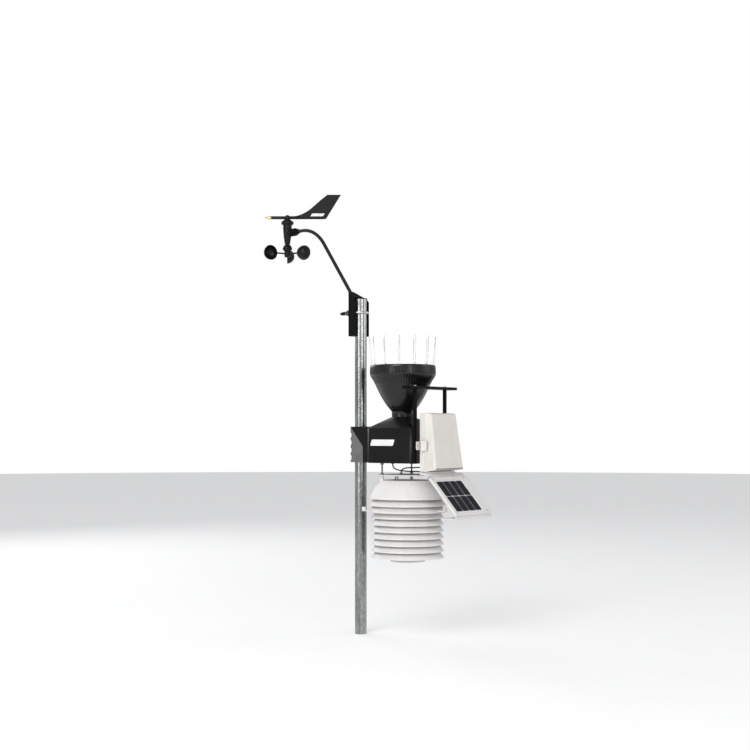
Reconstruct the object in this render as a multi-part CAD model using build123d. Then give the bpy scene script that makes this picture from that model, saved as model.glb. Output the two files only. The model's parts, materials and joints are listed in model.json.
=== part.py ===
from build123d import *
from math import cos, pi, radians, sin, tan
import os

# Home weather station on a steel mast: wind vane and cups on a curved arm, a rain
# collector with a tipping bucket, an electronics housing, a solar panel and a
# fan-aspirated radiation shield. Millimetres. The mast is the Z axis and its foot
# is the origin. The housing and the solar panel face -Y.

# Mast
POLE_R = 15.875
POLE_WALL = 1.65
POLE_TOP = 898.0

# Clamps shared by the mast's three U-bolts
UBOLT_R = 3.1
UBOLT_BEND = POLE_R + UBOLT_R + 0.1
NUT_FLATS = 11.1
NUT_HIGH = 5.6
WASHER_R = 7.6
WASHER_HIGH = 1.4

# Anemometer, built with its arm along +X and then turned about the mast
ARM_TURN = 82.0
ARM_R = 4.8
ARM_BORE = 3.5
ARM_RISE = 52.0
ARM_BEND = 125.0
ARM_LEVEL = 1113.5
HEAD_OUT = 320.0
ARM_BEND_OUT = 254.0
ARM_START_Z = 898.0
MOUNT_LOW = 799.0
MOUNT_HALF = 25.0
MOUNT_WEB = 22.0
MOUNT_LIP = -5.0
MOUNT_UBOLT_Z = 862.0
VANE_TURN = -50.0
VANE_Z = 1159.0
FIN_TOP = VANE_Z + 66.0
FIN_LOW = VANE_Z - 4.0
VANE_TUBE_R = 4.5
SHAFT_R = 1.5
RUNNING = 0.05
CUP_TURN = 44.0
CUP_Z = 1055.0
CUP_OUT = 54.4
CUP_R = 20.5
CUP_WALL = 1.3

# Rain collector
RAIN_Y = -145.0
BASE_LOW = 461.0
BASE_SHOULDER = 552.0
BASE_TOP = 580.0
BASE_HALF = 65.0
BASE_BACK = -72.0
BASE_CORNER = 14.0
BASE_FRONT = -229.0
BASE_WALL = 2.5
NECK_R = 29.0
RIM_Z = 715.5
SPIKES = 13
SPIKE_R = 0.95
SPIKE_LONG = 72.0
SPIKE_LEAN = 4.0
SPIKE_FOOT_R = 82.5
BUCKET_TILT = 12.0
BUCKET_Z = 502.0
BUCKET_HALF = 48.0

# Clamp of the collector on the mast
BRACKET_HALF = 30.0
BRACKET_END = 9.0
BRACKET_TOP = 556.0
BRACKET_WEB_FRONT = -21.5
BRACKET_UBOLTS = (484.0, 532.0)
TOOTH_ROWS = (468.0, 488.0, 508.0, 528.0)
TOOTH_HIGH = 11.0

# Sensor shelf in front of the collector
SHELF_HALF = 100.0
SHELF_BACK = -219.5
SHELF_FRONT = -249.5
SHELF_LOW = 651.0
SHELF_HIGH = 658.0
POST_X = 62.7
POST_Y = -234.5
POST_HALF = 4.0

# Electronics housing
PLATE_BACK = -238.0
PLATE_FRONT = -246.0
HOUSING_BACK = -246.5
HOUSING_SPLIT = -262.0
HOUSING_LOW = 441.0
HOUSING_TOP = 590.0
HOUSING_HALF = 58.0
FACE_TOP_Z = 587.0
FACE_TOP_Y = -279.0
FACE_TOP_HALF = 51.0
FACE_LOW_Z = 446.0
FACE_LOW_Y = -298.0
FACE_LOW_HALF = 60.0
FACE_ROUND = 4.5
FACE_STEP_Z = 521.5
SIDE_RIBS = 7
SIDE_RIB_PITCH = 5.4
HOUSING_WALL = 2.2
HINGE_X = 62.5
PIN_R = 1.5
LATCH_X = -61.2
LATCH_Y = -255.0
EYE_REACH = -74.0
LATCH_PIN_R = 1.2
HINGE_BOX_KNUCKLES = ((460.0, 472.0), (510.0, 522.0), (560.0, 572.0))
HINGE_COVER_KNUCKLES = ((472.5, 486.0), (546.0, 559.5))

# Solar panel
PANEL_TILT = 47.5
PANEL_HINGE_Y = -283.0
PANEL_HINGE_Z = 431.5
PANEL_HALF = 77.0
PANEL_LONG = 133.0
CELLS_HALF = 54.0
CELLS_LONG = 99.0
CELLS_ASIDE = -10.0
PANEL_SCREW_X = (-71.5, 58.0)

# Radiation shield
SHIELD_Y = -161.0
SHIELD_TOP = 416.5
DOME_BOSS_LOW = 398.0
ROD_OUT = 71.0
ROD_R = 2.2
SPACER_R = 4.35
ROD_TURNS = (30.0, 150.0, -90.0)
PLATE_PITCH = 17.2
PLATE_COUNT = 7
FIRST_TIP_Z = 318.5
LUG_OUT = 121.0
FAN_Z = 222.0

# Cords: the route's corners, and each cord's diameter
LEAD_R = 1.7
PANEL_LEAD = [
    (28.0, -88.0, 457.0),
    (28.0, -88.0, 450.0),
    (32.0, -93.0, 443.0),
    (41.0, -104.0, 439.0),
    (50.0, -115.5, 437.5),
    (57.5, -129.0, 437.0),
    (56.5, -147.0, 437.5),
    (48.0, -171.0, 437.5),
    (35.0, -199.0, 436.0),
    (20.0, -223.0, 435.0),
    (20.0, -248.0, 435.0),
]
FAN_LEAD = [
    (33.0, -113.0, 434.0),
    (33.0, -113.0, 439.5),
    (38.5, -116.0, 444.5),
    (47.0, -121.5, 446.8),
    (56.5, -129.5, 446.5),
    (57.5, -146.0, 447.5),
    (53.0, -169.0, 449.2),
    (44.0, -194.0, 449.2),
    (27.0, -221.0, 447.0),
    (27.0, -249.0, 447.0),
]


def save(name, shape):
    """Write one named sub-part."""
    export_step(shape, f"parts/{name}.step")


def group(solids):
    """Several separate solids as one sub-part."""
    return Compound(children=list(solids))


def block(x0, x1, y0, y1, z0, z1):
    """Box between two corners."""
    middle = Pos((x0 + x1) / 2, (y0 + y1) / 2, (z0 + z1) / 2)
    return middle * Box(x1 - x0, y1 - y0, z1 - z0)


def drum(radius, z0, z1, x=0.0, y=0.0):
    """Upright cylinder from z0 to z1."""
    return Pos(x, y, (z0 + z1) / 2) * Cylinder(radius, z1 - z0)


def tube(outer, inner, z0, z1, x=0.0, y=0.0):
    """Upright tube from z0 to z1."""
    return drum(outer, z0, z1, x, y) - drum(inner, z0 - 1, z1 + 1, x, y)


def turned(points, x=0.0, y=0.0):
    """Solid of revolution about a vertical axis from (radius, height) points."""
    outline = make_face(Plane.XZ * Polyline(*points, close=True))
    return Pos(x, y, 0) * revolve(outline, Axis.Z)


def bar(start, end, radius):
    """Round bar between two points."""
    line = Edge.make_line(start, end)
    plane = Plane(origin=start, z_dir=line % 0)
    return extrude(plane * Circle(radius), line.length)


def slab(points, plane, thick):
    """Flat plate: a closed outline on a plane, grown to both sides of it."""
    outline = plane * make_face(Polyline(*points, close=True))
    return extrude(outline, thick / 2, both=True)


def hexagon_nut(hole):
    """Hexagon nut with its washer, standing on the XY plane, bored for its bolt."""
    washer = Pos(0, 0, WASHER_HIGH / 2) * Cylinder(WASHER_R, WASHER_HIGH)
    flats = RegularPolygon(NUT_FLATS / 2, 6, major_radius=False)
    nut = extrude(Pos(0, 0, WASHER_HIGH) * flats, NUT_HIGH)
    bore = Pos(0, 0, NUT_HIGH / 2) * Cylinder(hole, 4 * NUT_HIGH)
    return washer + nut - bore


def about_mast(shape):
    """Turn a piece drawn with the arm along +X to the arm's real heading."""
    return Rot(0, 0, ARM_TURN) * shape


def at_head(shape, turn):
    """Carry a piece drawn round its own vertical axis to the anemometer head."""
    heading = radians(ARM_TURN)
    head = Pos(HEAD_OUT * cos(heading), HEAD_OUT * sin(heading), 0)
    return head * Rot(0, 0, turn) * shape


# Mast and clamps


def make_mast():
    save("mast_pole", tube(POLE_R, POLE_R - POLE_WALL, 0, POLE_TOP))


def u_bolt(leg_end):
    """U-bolt round the mast with its legs along +X, its bend on the -X side."""
    bend = RadiusArc((0, UBOLT_BEND), (0, -UBOLT_BEND), -UBOLT_BEND)
    legs = [
        Line((leg_end, UBOLT_BEND), (0, UBOLT_BEND)),
        Line((0, -UBOLT_BEND), (leg_end, -UBOLT_BEND)),
    ]
    path = Wire([legs[0], bend, legs[1]])
    section = Plane(origin=(leg_end, UBOLT_BEND, 0), z_dir=(-1, 0, 0)) * Circle(UBOLT_R)
    return sweep(section, path=path)


def u_bolt_nuts(seat, count):
    """Washers and nuts on a U-bolt's legs, from the seat outwards along +X."""
    solids = []
    nut = Rot(0, 90, 0) * hexagon_nut(UBOLT_R + RUNNING)
    for side in (-UBOLT_BEND, UBOLT_BEND):
        for place in range(count):
            shift = place * (NUT_HIGH + WASHER_HIGH + 0.1)
            solids.append(Pos(seat + shift, side, 0) * nut)
    return solids


def make_clamps():
    """One clamp carries the anemometer and two carry the collector."""
    bolts = [about_mast(Pos(0, 0, MOUNT_UBOLT_Z) * u_bolt(59.5))]
    nuts = [about_mast(Pos(0, 0, MOUNT_UBOLT_Z) * n) for n in u_bolt_nuts(MOUNT_WEB, 2)]
    for height in BRACKET_UBOLTS:
        place = Pos(0, 0, height) * Rot(0, 0, -90)
        bolts.append(place * u_bolt(42.0))
        nuts += [place * n for n in u_bolt_nuts(-BRACKET_WEB_FRONT, 1)]
    save("ubolts", group(bolts))
    save("ubolt_nuts", group(nuts))


# Anemometer


def arm_path():
    """Centre line of the arm in the XZ plane: straight, bend, level end."""
    rise = radians(ARM_RISE)
    bend_z = ARM_LEVEL - ARM_BEND
    bend_start = (ARM_BEND_OUT - ARM_BEND * sin(rise), bend_z + ARM_BEND * cos(rise))
    foot = (bend_start[0] - (bend_start[1] - ARM_START_Z) / tan(rise), ARM_START_Z)
    middle_turn = rise / 2
    middle = (
        ARM_BEND_OUT - ARM_BEND * sin(middle_turn),
        bend_z + ARM_BEND * cos(middle_turn),
    )
    bend_end = (ARM_BEND_OUT, ARM_LEVEL)
    level_end = (HEAD_OUT - 24.0, ARM_LEVEL)
    return [
        Line(foot, bend_start),
        ThreePointArc(bend_start, middle, bend_end),
        Line(bend_end, level_end),
    ], foot


def make_arm():
    edges, foot = arm_path()
    path = Plane.XZ * Wire(edges)
    rise = radians(ARM_RISE)
    start = Plane(origin=(foot[0], 0, foot[1]), z_dir=(cos(rise), 0, sin(rise)))
    skin = sweep(start * Circle(ARM_R), path=path)
    bore = sweep(start * Circle(ARM_BORE), path=path)
    save("anemometer_arm", about_mast(skin - bore))


def make_mount():
    """Channel that seats on the mast, with a sloping cap and the arm's socket."""
    flange_top = 919.0
    lip_top = 891.0
    cap_low = POLE_TOP + 0.3
    side = [
        (MOUNT_LIP, MOUNT_LOW),
        (MOUNT_WEB, MOUNT_LOW),
        (MOUNT_WEB, flange_top),
        (MOUNT_LIP, lip_top),
    ]
    body = slab(side, Plane.XZ, 2 * MOUNT_HALF)
    inner = MOUNT_HALF - 3
    body -= block(MOUNT_LIP - 1, MOUNT_WEB - 3, -inner, inner, MOUNT_LOW - 1, cap_low)
    for low, high in ((799.0, 807.0), (838.0, 848.0), (880.0, 888.0)):
        body += block(MOUNT_LIP + 4, MOUNT_WEB - 2, -inner - 1, inner + 1, low, high)
    roof = [(-17.5, cap_low), (8.0, cap_low), (8.0, 903.5), (-17.5, 900.2)]
    body += slab(roof, Plane.XZ, 60) & drum(17.5, 890, 930)
    body -= drum(POLE_R + 0.05, MOUNT_LOW - 1, cap_low)
    shoulder_cut = [(8, 921.5), (-26, 899.5), (-26, 925), (8, 925)]
    body -= slab(shoulder_cut, Plane.YZ, 80)
    edges, foot = arm_path()
    rise = radians(ARM_RISE)
    away = (cos(rise), 0, sin(rise))
    socket_start = Vector(foot[0], 0, foot[1]) - Vector(*away) * 4
    socket_end = Vector(foot[0], 0, foot[1]) + Vector(*away) * 24
    socket = bar(socket_start, socket_end, ARM_R + 3.2)
    socket -= block(-60, MOUNT_WEB - 2.9, -30, 30, 860, 940)
    body += socket
    body -= bar(Vector(foot[0], 0, foot[1]), socket_end + Vector(*away) * 5, ARM_R)
    for leg in (-UBOLT_BEND, UBOLT_BEND):
        place = Pos(MOUNT_WEB, leg, MOUNT_UBOLT_Z) * Rot(0, 90, 0)
        body -= place * Cylinder(UBOLT_R + 0.3, 60)
    save("anemometer_mount", about_mast(body))


def make_collar():
    """Ribbed union nut that locks the head on the end of the arm."""
    back = HEAD_OUT - 53.0
    front = HEAD_OUT - 20.0
    points = [
        (ARM_R + 0.05, back),
        (6.6, back),
        (9.2, back + 12),
        (11.0, back + 14),
        (11.0, front),
        (8.7, front),
        (8.7, back + 18),
        (ARM_R + 0.05, back + 18),
    ]
    nut = turned(points)
    for turn in range(0, 360, 30):
        nut -= Rot(0, 0, turn) * drum(0.9, back + 15, front + 1, 11.2)
    lie_along_x = Pos(0, 0, ARM_LEVEL) * Rot(0, 90, 0)
    save("arm_collar", about_mast(lie_along_x * nut))


def make_head():
    """Hollow body: potentiometer seat above, bearing seat below, boss to the arm."""
    body = turned([
        (10.0, 1141), (12.8, 1141), (12.8, 1126), (11.0, 1104), (8.2, 1086), (6.9, 1082), (6.9, 1074),
        (4.0, 1074), (4.0, 1084), (7.6, 1104), (9.9, 1123), (10.0, 1123),
    ])
    boss = Pos(-17.5, 0, ARM_LEVEL) * Rot(0, 90, 0) * Cylinder(8.6, 17)
    boss -= drum(9.9, 1100, 1130)
    body += boss
    body -= Pos(-22, 0, ARM_LEVEL) * Rot(0, 90, 0) * Cylinder(ARM_R + 0.02, 16)
    body -= Pos(-10, 0, ARM_LEVEL) * Rot(0, 90, 0) * Cylinder(ARM_BORE, 12)
    save("sensor_head", at_head(body, ARM_TURN))


def make_head_works():
    """Sensing pieces fixed in the head."""
    pot = tube(9.9, SHAFT_R + RUNNING, 1124, 1139)
    save("vane_potentiometer", at_head(pot, 0))
    bearings = [tube(3.95, SHAFT_R + RUNNING, low, low + 3.5) for low in (1074.5, 1080.0)]
    save("cup_bearings", at_head(group(bearings), 0))
    capsule = Pos(4.4, 0, 1103) * Cylinder(1.2, 12)
    save("cup_reed_switch", at_head(capsule, 60))


def vane_fin():
    """Fin outline in the vane's own plane: distance behind the axis, height."""
    with BuildLine() as outline:
        rise = Spline(
            (14, VANE_Z + 3.8), (36.5, VANE_Z + 8.2), (55.5, VANE_Z + 17.4), (67.3, VANE_Z + 25.8))
        Line(rise @ 1, (95.5, VANE_Z + 50.5))
        Line((95.5, VANE_Z + 50.5), (115, FIN_TOP))
        Line((115, FIN_TOP), (154, FIN_TOP))
        Line((154, FIN_TOP), (114.5, VANE_Z + 1.5))
        heel = ThreePointArc(
            (114.5, VANE_Z + 1.5), (111.3, VANE_Z - 2.6), (106.5, FIN_LOW))
        Line(heel @ 1, (14, FIN_LOW))
        Line((14, FIN_LOW), rise @ 0)
    return Plane.XZ * make_face(outline.line)


def make_vane():
    """Vane drawn with its tail along +X: hub with rain skirt, tube and fin."""
    hub = turned([
        (SHAFT_R, 1166), (4.2, 1166), (6.4, 1163), (7.4, 1156), (9.5, 1152.5),
        (16.6, 1147.5), (18.4, 1143.5), (17.2, 1139.5), (13.4, 1139.5), (13.4, 1144),
        (11.0, 1146.5), (SHAFT_R, 1146.5),
    ])
    spine = bar((-46.4, 0, VANE_Z), (40, 0, VANE_Z), VANE_TUBE_R)
    fin = extrude(vane_fin(), 1.1, both=True)
    tail_bead = bar((38, 0, VANE_Z - 2.2), (107, 0, VANE_Z - 2.2), 2.1)
    vane = hub + spine + fin + tail_bead
    vane -= drum(SHAFT_R, 1140, VANE_Z + 5)
    vane -= bar((0, -8.5, 1150.2), (0, -SHAFT_R, 1150.2), 1.25)
    save("wind_vane", at_head(vane, VANE_TURN))
    tip = Rot(0, -90, 0) * turned([
        (0, 46.4), (4.3, 46.4), (4.5, 49), (4.1, 54), (2.9, 60), (1.2, 65), (0, 66),
    ])
    save("vane_tip", at_head(Pos(0, 0, VANE_Z) * tip, VANE_TURN))
    save("vane_shaft", at_head(drum(SHAFT_R, 1126, VANE_Z + 5), VANE_TURN))
    screw = bar((0, -7.4, 1150.2), (0, -SHAFT_R, 1150.2), 1.25)
    save("vane_set_screw", at_head(screw, VANE_TURN))


def make_cups():
    """Three-cup rotor: hub with skirt, arms and thin hemispherical cups."""
    rotor = turned([
        (0, 1044.5), (5.5, 1044.5), (8.8, 1047.5), (8.8, 1061), (14, 1068.5), (14, 1071.5),
        (9.8, 1079), (8.4, 1079), (8.4, 1073.5), (11.8, 1071), (11.8, 1069.2), (8.2, 1064.5),
        (0, 1064.5),
    ])
    hollows = []
    for turn in (0, 120, 240):
        spin = Rot(0, 0, turn)
        centre = Pos(CUP_OUT, 0, CUP_Z)
        arm_end = CUP_OUT - CUP_R + 1.0
        ball = Sphere(CUP_R) & block(-CUP_R, CUP_R, -CUP_R, 0, -CUP_R, CUP_R)
        bead = Rot(90, 0, 0) * Torus(CUP_R - 0.2, 0.9)
        rotor += spin * bar((4, -0.6, CUP_Z), (arm_end, -0.6, CUP_Z), 2.3)
        rotor += spin * centre * (ball + bead)
        hollows.append(spin * centre * Sphere(CUP_R - CUP_WALL))
    for hollow in hollows:
        rotor -= hollow
    rotor -= drum(SHAFT_R, 1047, 1070)
    rotor -= drum(1.6, 1062, 1065, 5.0)
    save("wind_cups", at_head(rotor, CUP_TURN))
    save("cup_shaft", at_head(drum(SHAFT_R, 1047, 1086), CUP_TURN))
    save("cup_magnet", at_head(drum(1.6, 1062, 1065, 5.0), CUP_TURN))


# Rain collector


def make_funnel():
    """Open cone with a rolled rim, moulded flutes and a drain spout."""
    with BuildLine() as outline:
        Line((83.2, RIM_Z), (84.4, RIM_Z - 0.6))
        shoulder = Spline((84.4, RIM_Z - 0.6), (86, 708), (86, 692))
        flank = Spline(
            shoulder @ 1, (81.5, 682), (74.8, 671), (58.4, 637), (42.5, 611), (31, 597))
        Line(flank @ 1, (NECK_R, 594))
        Line((NECK_R, 594), (NECK_R, BASE_TOP + 0.5))
        Line((NECK_R, BASE_TOP + 0.5), (NECK_R - 2.4, BASE_TOP + 0.5))
        Line((NECK_R - 2.4, BASE_TOP + 0.5), (NECK_R - 2.4, 589))
        Line((NECK_R - 2.4, 589), (6.4, 586))
        Line((6.4, 586), (6.4, 569))
        Line((6.4, 569), (4.6, 569))
        Line((4.6, 569), (4.6, 588.4))
        Line((4.6, 588.4), (26.4, 595))
        inside = Spline(
            (26.4, 595), (40.3, 612.4), (56, 638.2), (72.4, 672.2), (79.2, 683), (83.6, 693))
        Line(inside @ 1, (83.6, 709))
        Line((83.6, 709), (83.2, RIM_Z))
    cone = revolve(Plane.XZ * make_face(outline.line), Axis.Z)
    save("rain_funnel", Pos(0, RAIN_Y, 0) * cone)


def make_screen():
    """Slotted strainer that stands over the funnel's drain hole."""
    ring = tube(15.0, 11.0, 592.6, 595.0)
    top = drum(12.6, 613, 615)
    cage = ring + top
    for turn in range(0, 360, 24):
        cage += Rot(0, 0, turn) * block(10.4, 12.2, -0.8, 0.8, 594.5, 613.5)
    save("debris_screen", Pos(0, RAIN_Y, 0) * cage)


def make_spikes():
    """Ring of thin wires that keeps birds off the rim."""
    spikes = []
    for place in range(SPIKES):
        turn = Rot(0, 0, 130 + 360 * place / SPIKES)
        foot_out = SPIKE_FOOT_R + 1.6
        foot = block(SPIKE_FOOT_R - 3.2, foot_out, -2.2, 2.2, RIM_Z, RIM_Z + 3.0)
        lean = radians(SPIKE_LEAN)
        tip_r = SPIKE_FOOT_R + SPIKE_LONG * sin(lean)
        tip = (tip_r, 0, RIM_Z + 2 + SPIKE_LONG * cos(lean))
        spike = foot + bar((SPIKE_FOOT_R, 0, RIM_Z + 1.0), tip, SPIKE_R)
        spikes.append(Pos(0, RAIN_Y, 0) * turn * spike)
    save("bird_spikes", group(spikes))


def base_outline(inset, height):
    """Rounded rectangle of the collector base, drawn in from its outer skin."""
    wide = 2 * (BASE_HALF - inset)
    deep = (BASE_BACK - BASE_FRONT) - 2 * inset
    middle = (BASE_BACK + BASE_FRONT) / 2
    corner = max(BASE_CORNER - inset, 8.0)
    return Pos(0, middle, height) * RectangleRounded(wide, deep, corner)


def base_body(skin):
    """Outer form of the base, or its hollow when skin is the wall thickness."""
    lower = extrude(base_outline(skin, BASE_LOW), BASE_SHOULDER - skin * 0.6 - BASE_LOW)
    foot = base_outline(skin, BASE_SHOULDER - skin * 0.6)
    brow = Pos(0, RAIN_Y, BASE_TOP - skin) * Circle(NECK_R + 2.5 - skin)
    return lower + loft([foot, brow])


def make_base():
    """Shell of the collector base with a collar that carries the funnel."""
    shell = base_body(0.0) - base_body(BASE_WALL)
    shell -= drum(NECK_R - 6.0, BASE_TOP - 12, BASE_TOP + 2, 0, RAIN_Y)
    shell += tube(NECK_R - 3.0, NECK_R - 6.0, BASE_TOP - 6, BASE_TOP + 6.5, 0, RAIN_Y)
    shell += block(-57, 57, PLATE_BACK, BASE_FRONT + 0.5, BASE_LOW + 2, BASE_SHOULDER - 4)
    for height in (467.0, 471.5, 476.0):
        for side in (-1, 1):
            shell += Pos(side * BASE_HALF, (BASE_BACK + BASE_FRONT) / 2, height) * Box(1.6, 96, 1.2)
    save("collector_base", shell)


def make_floor():
    """Floor of the base with two drains and the gland of the panel's lead."""
    floor = extrude(base_outline(BASE_WALL + 0.1, BASE_LOW), 3.0)
    for side in (-1, 1):
        floor -= Pos(side * 34, RAIN_Y, BASE_LOW) * Box(16, 34, 20)
    gland_x, gland_y, gland_low = PANEL_LEAD[0]
    floor += drum(4.2, gland_low, BASE_LOW + 1, gland_x, gland_y)
    save("base_floor", floor)


def make_bucket():
    """Tipping bucket and its magnet. At rest its +X end is down on its stop."""
    pivot = Pos(0, RAIN_Y, BUCKET_Z)
    wedge = [
        (-BUCKET_HALF, 10), (-BUCKET_HALF, 16), (0, 31), (BUCKET_HALF, 16), (BUCKET_HALF, 10),
        (6, 2), (-6, 2),
    ]
    body = slab(wedge, Plane.XZ, 30)
    for side in (-1, 1):
        hollow = [
            (side * 1.2, 4.5), (side * 1.2, 40), (side * 60, 40), (side * 60, 14), (side * 7, 4.5),
        ]
        body -= slab(hollow, Plane.XZ, 27.2)
    body += Rot(90, 0, 0) * Cylinder(3.6, 30)
    body -= Rot(90, 0, 0) * Cylinder(SHAFT_R + RUNNING, 60)
    body += Pos(0, 13.2, 30) * Box(5, 3.6, 8)
    magnet = Pos(0, 16.5, 31) * Box(5, 3, 5)
    tilt = pivot * Rot(0, BUCKET_TILT, 0)
    save("tipping_bucket", tilt * body)
    save("bucket_magnet", tilt * magnet)
    pin = pivot * Rot(90, 0, 0) * Cylinder(SHAFT_R, 41)
    save("bucket_pivot_pin", pin)


def make_bucket_frame():
    """Two cheeks on a foot, with stops for the bucket and the reed switch."""
    foot_low = BASE_LOW + 3.0
    frame = block(-26, 26, RAIN_Y - 22, RAIN_Y + 22, foot_low, foot_low + 3)
    for side in (-1, 1):
        cheek = [(-20, foot_low), (20, foot_low), (6, BUCKET_Z + 6), (-6, BUCKET_Z + 6)]
        wall = slab(cheek, Plane.XZ, 3)
        frame += Pos(0, RAIN_Y + side * 19, 0) * wall
    frame -= Pos(0, RAIN_Y, BUCKET_Z) * Rot(90, 0, 0) * Cylinder(SHAFT_R, 60)
    frame += block(-7, 7, RAIN_Y + 20.5, RAIN_Y + 24.5, foot_low, BUCKET_Z + 34)
    save("bucket_frame", frame)
    reed = Pos(0, RAIN_Y + 26.2, BUCKET_Z + 27) * Rot(0, 90, 0) * Cylinder(1.5, 14)
    save("bucket_reed_switch", reed)
    stops = []
    for side in (-1, 1):
        x = side * 41
        stem = drum(2.4, foot_low, BUCKET_Z - 0.3, x, RAIN_Y)
        stops.append(stem + drum(4.0, foot_low, foot_low + 3, x, RAIN_Y))
    save("bucket_stop_screws", group(stops))


def make_bracket():
    """Black channel between the base and the mast, toothed where it grips."""
    web_back = BRACKET_WEB_FRONT + 3.5
    bracket = block(-BRACKET_HALF, BRACKET_HALF, BRACKET_WEB_FRONT, web_back, BASE_LOW, BRACKET_TOP)
    for side in (-1, 1):
        low_x, high_x = sorted((side * BRACKET_HALF, side * (BRACKET_HALF - 3)))
        bracket += block(low_x, high_x, BASE_BACK, BRACKET_END, BASE_LOW, BRACKET_TOP)
        for low in TOOTH_ROWS:
            bracket -= block(low_x - 1, high_x + 1, BRACKET_END - 3, BRACKET_END + 1, low, low + TOOTH_HIGH)
    for low in (BASE_LOW, 505.0, BRACKET_TOP - 4):
        bracket += block(1 - BRACKET_HALF, BRACKET_HALF - 1, BRACKET_WEB_FRONT, -4, low, low + 4)
    bracket -= drum(POLE_R + 0.05, BASE_LOW - 1, BRACKET_TOP + 1)
    for height in BRACKET_UBOLTS:
        for side in (-UBOLT_BEND, UBOLT_BEND):
            place = Pos(side, BRACKET_WEB_FRONT, height) * Rot(90, 0, 0)
            bracket -= place * Cylinder(UBOLT_R + 0.3, 30)
    save("pole_bracket", bracket)
    plates = []
    for side in (-1, 1):
        outline = [
            (BRACKET_END, BASE_LOW), (BRACKET_END, BRACKET_TOP - 1), (-34, 503), (-34, BASE_LOW),
        ]
        plate = Pos(side * (BRACKET_HALF + 0.8), 0, 0) * slab(outline, Plane.YZ, 1.6)
        for low in TOOTH_ROWS:
            plate -= block(-40, 40, BRACKET_END - 3, BRACKET_END + 1, low, low + TOOTH_HIGH)
        plates.append(plate)
    save("bracket_side_plates", group(plates))


# Shelf and housing


def make_shelf():
    """Flat shelf on two posts that stand at the base's front corners."""
    shelf = block(-SHELF_HALF, SHELF_HALF, SHELF_FRONT, SHELF_BACK, SHELF_LOW, SHELF_HIGH)
    shelf = fillet(shelf.edges().filter_by(Axis.Z), 5)
    for side in (-1, 1):
        shelf -= drum(2.2, SHELF_LOW - 1, SHELF_HIGH + 1, side * POST_X, POST_Y)
    save("sensor_shelf", shelf)
    posts = []
    screws = []
    for side in (-1, 1):
        x = side * POST_X
        post = Pos(x, POST_Y, (BASE_LOW + SHELF_LOW) / 2)
        post *= Box(2 * POST_HALF, 2 * POST_HALF, SHELF_LOW - BASE_LOW)
        post = fillet(post.edges().filter_by(Axis.Z), 1.0)
        post -= drum(2.1, SHELF_LOW - 14, SHELF_LOW + 1, x, POST_Y)
        posts.append(post)
        head = turned([(0, 3.2), (2.2, 2.8), (4.0, 1.2), (4.2, 0), (0, 0)], x, POST_Y)
        stem = drum(2.05, SHELF_LOW - 12, SHELF_HIGH + 1, x, POST_Y)
        screws.append(Pos(0, 0, SHELF_HIGH) * head + stem)
    save("shelf_posts", group(posts))
    save("shelf_screws", group(screws))


def make_front_plate():
    """Plate that carries the housing on the front of the base."""
    plate = block(-56, 56, PLATE_FRONT, PLATE_BACK, 463, 574)
    wings = block(-63, 63, PLATE_FRONT, PLATE_BACK - 1.0, 463, 574)
    save("front_plate", plate + wings)


def housing_form(inset, back_y):
    """Tapered form of the housing between its back and its sloping face."""
    rows = [
        (HOUSING_HALF, back_y, HOUSING_LOW + inset, HOUSING_HALF, back_y, HOUSING_TOP - inset),
        (
            FACE_LOW_HALF, FACE_LOW_Y + inset, FACE_LOW_Z + inset / 2,
            FACE_TOP_HALF, FACE_TOP_Y + inset, FACE_TOP_Z - inset / 2,
        ),
    ]
    faces = []
    for low_half, low_y, low_z, top_half, top_y, top_z in rows:
        corners = [
            (inset - low_half, low_y, low_z), (low_half - inset, low_y, low_z),
            (top_half - inset, top_y, top_z), (inset - top_half, top_y, top_z),
        ]
        faces.append(make_face(Polyline(*corners, close=True)))
    return loft(faces, ruled=True)


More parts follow.
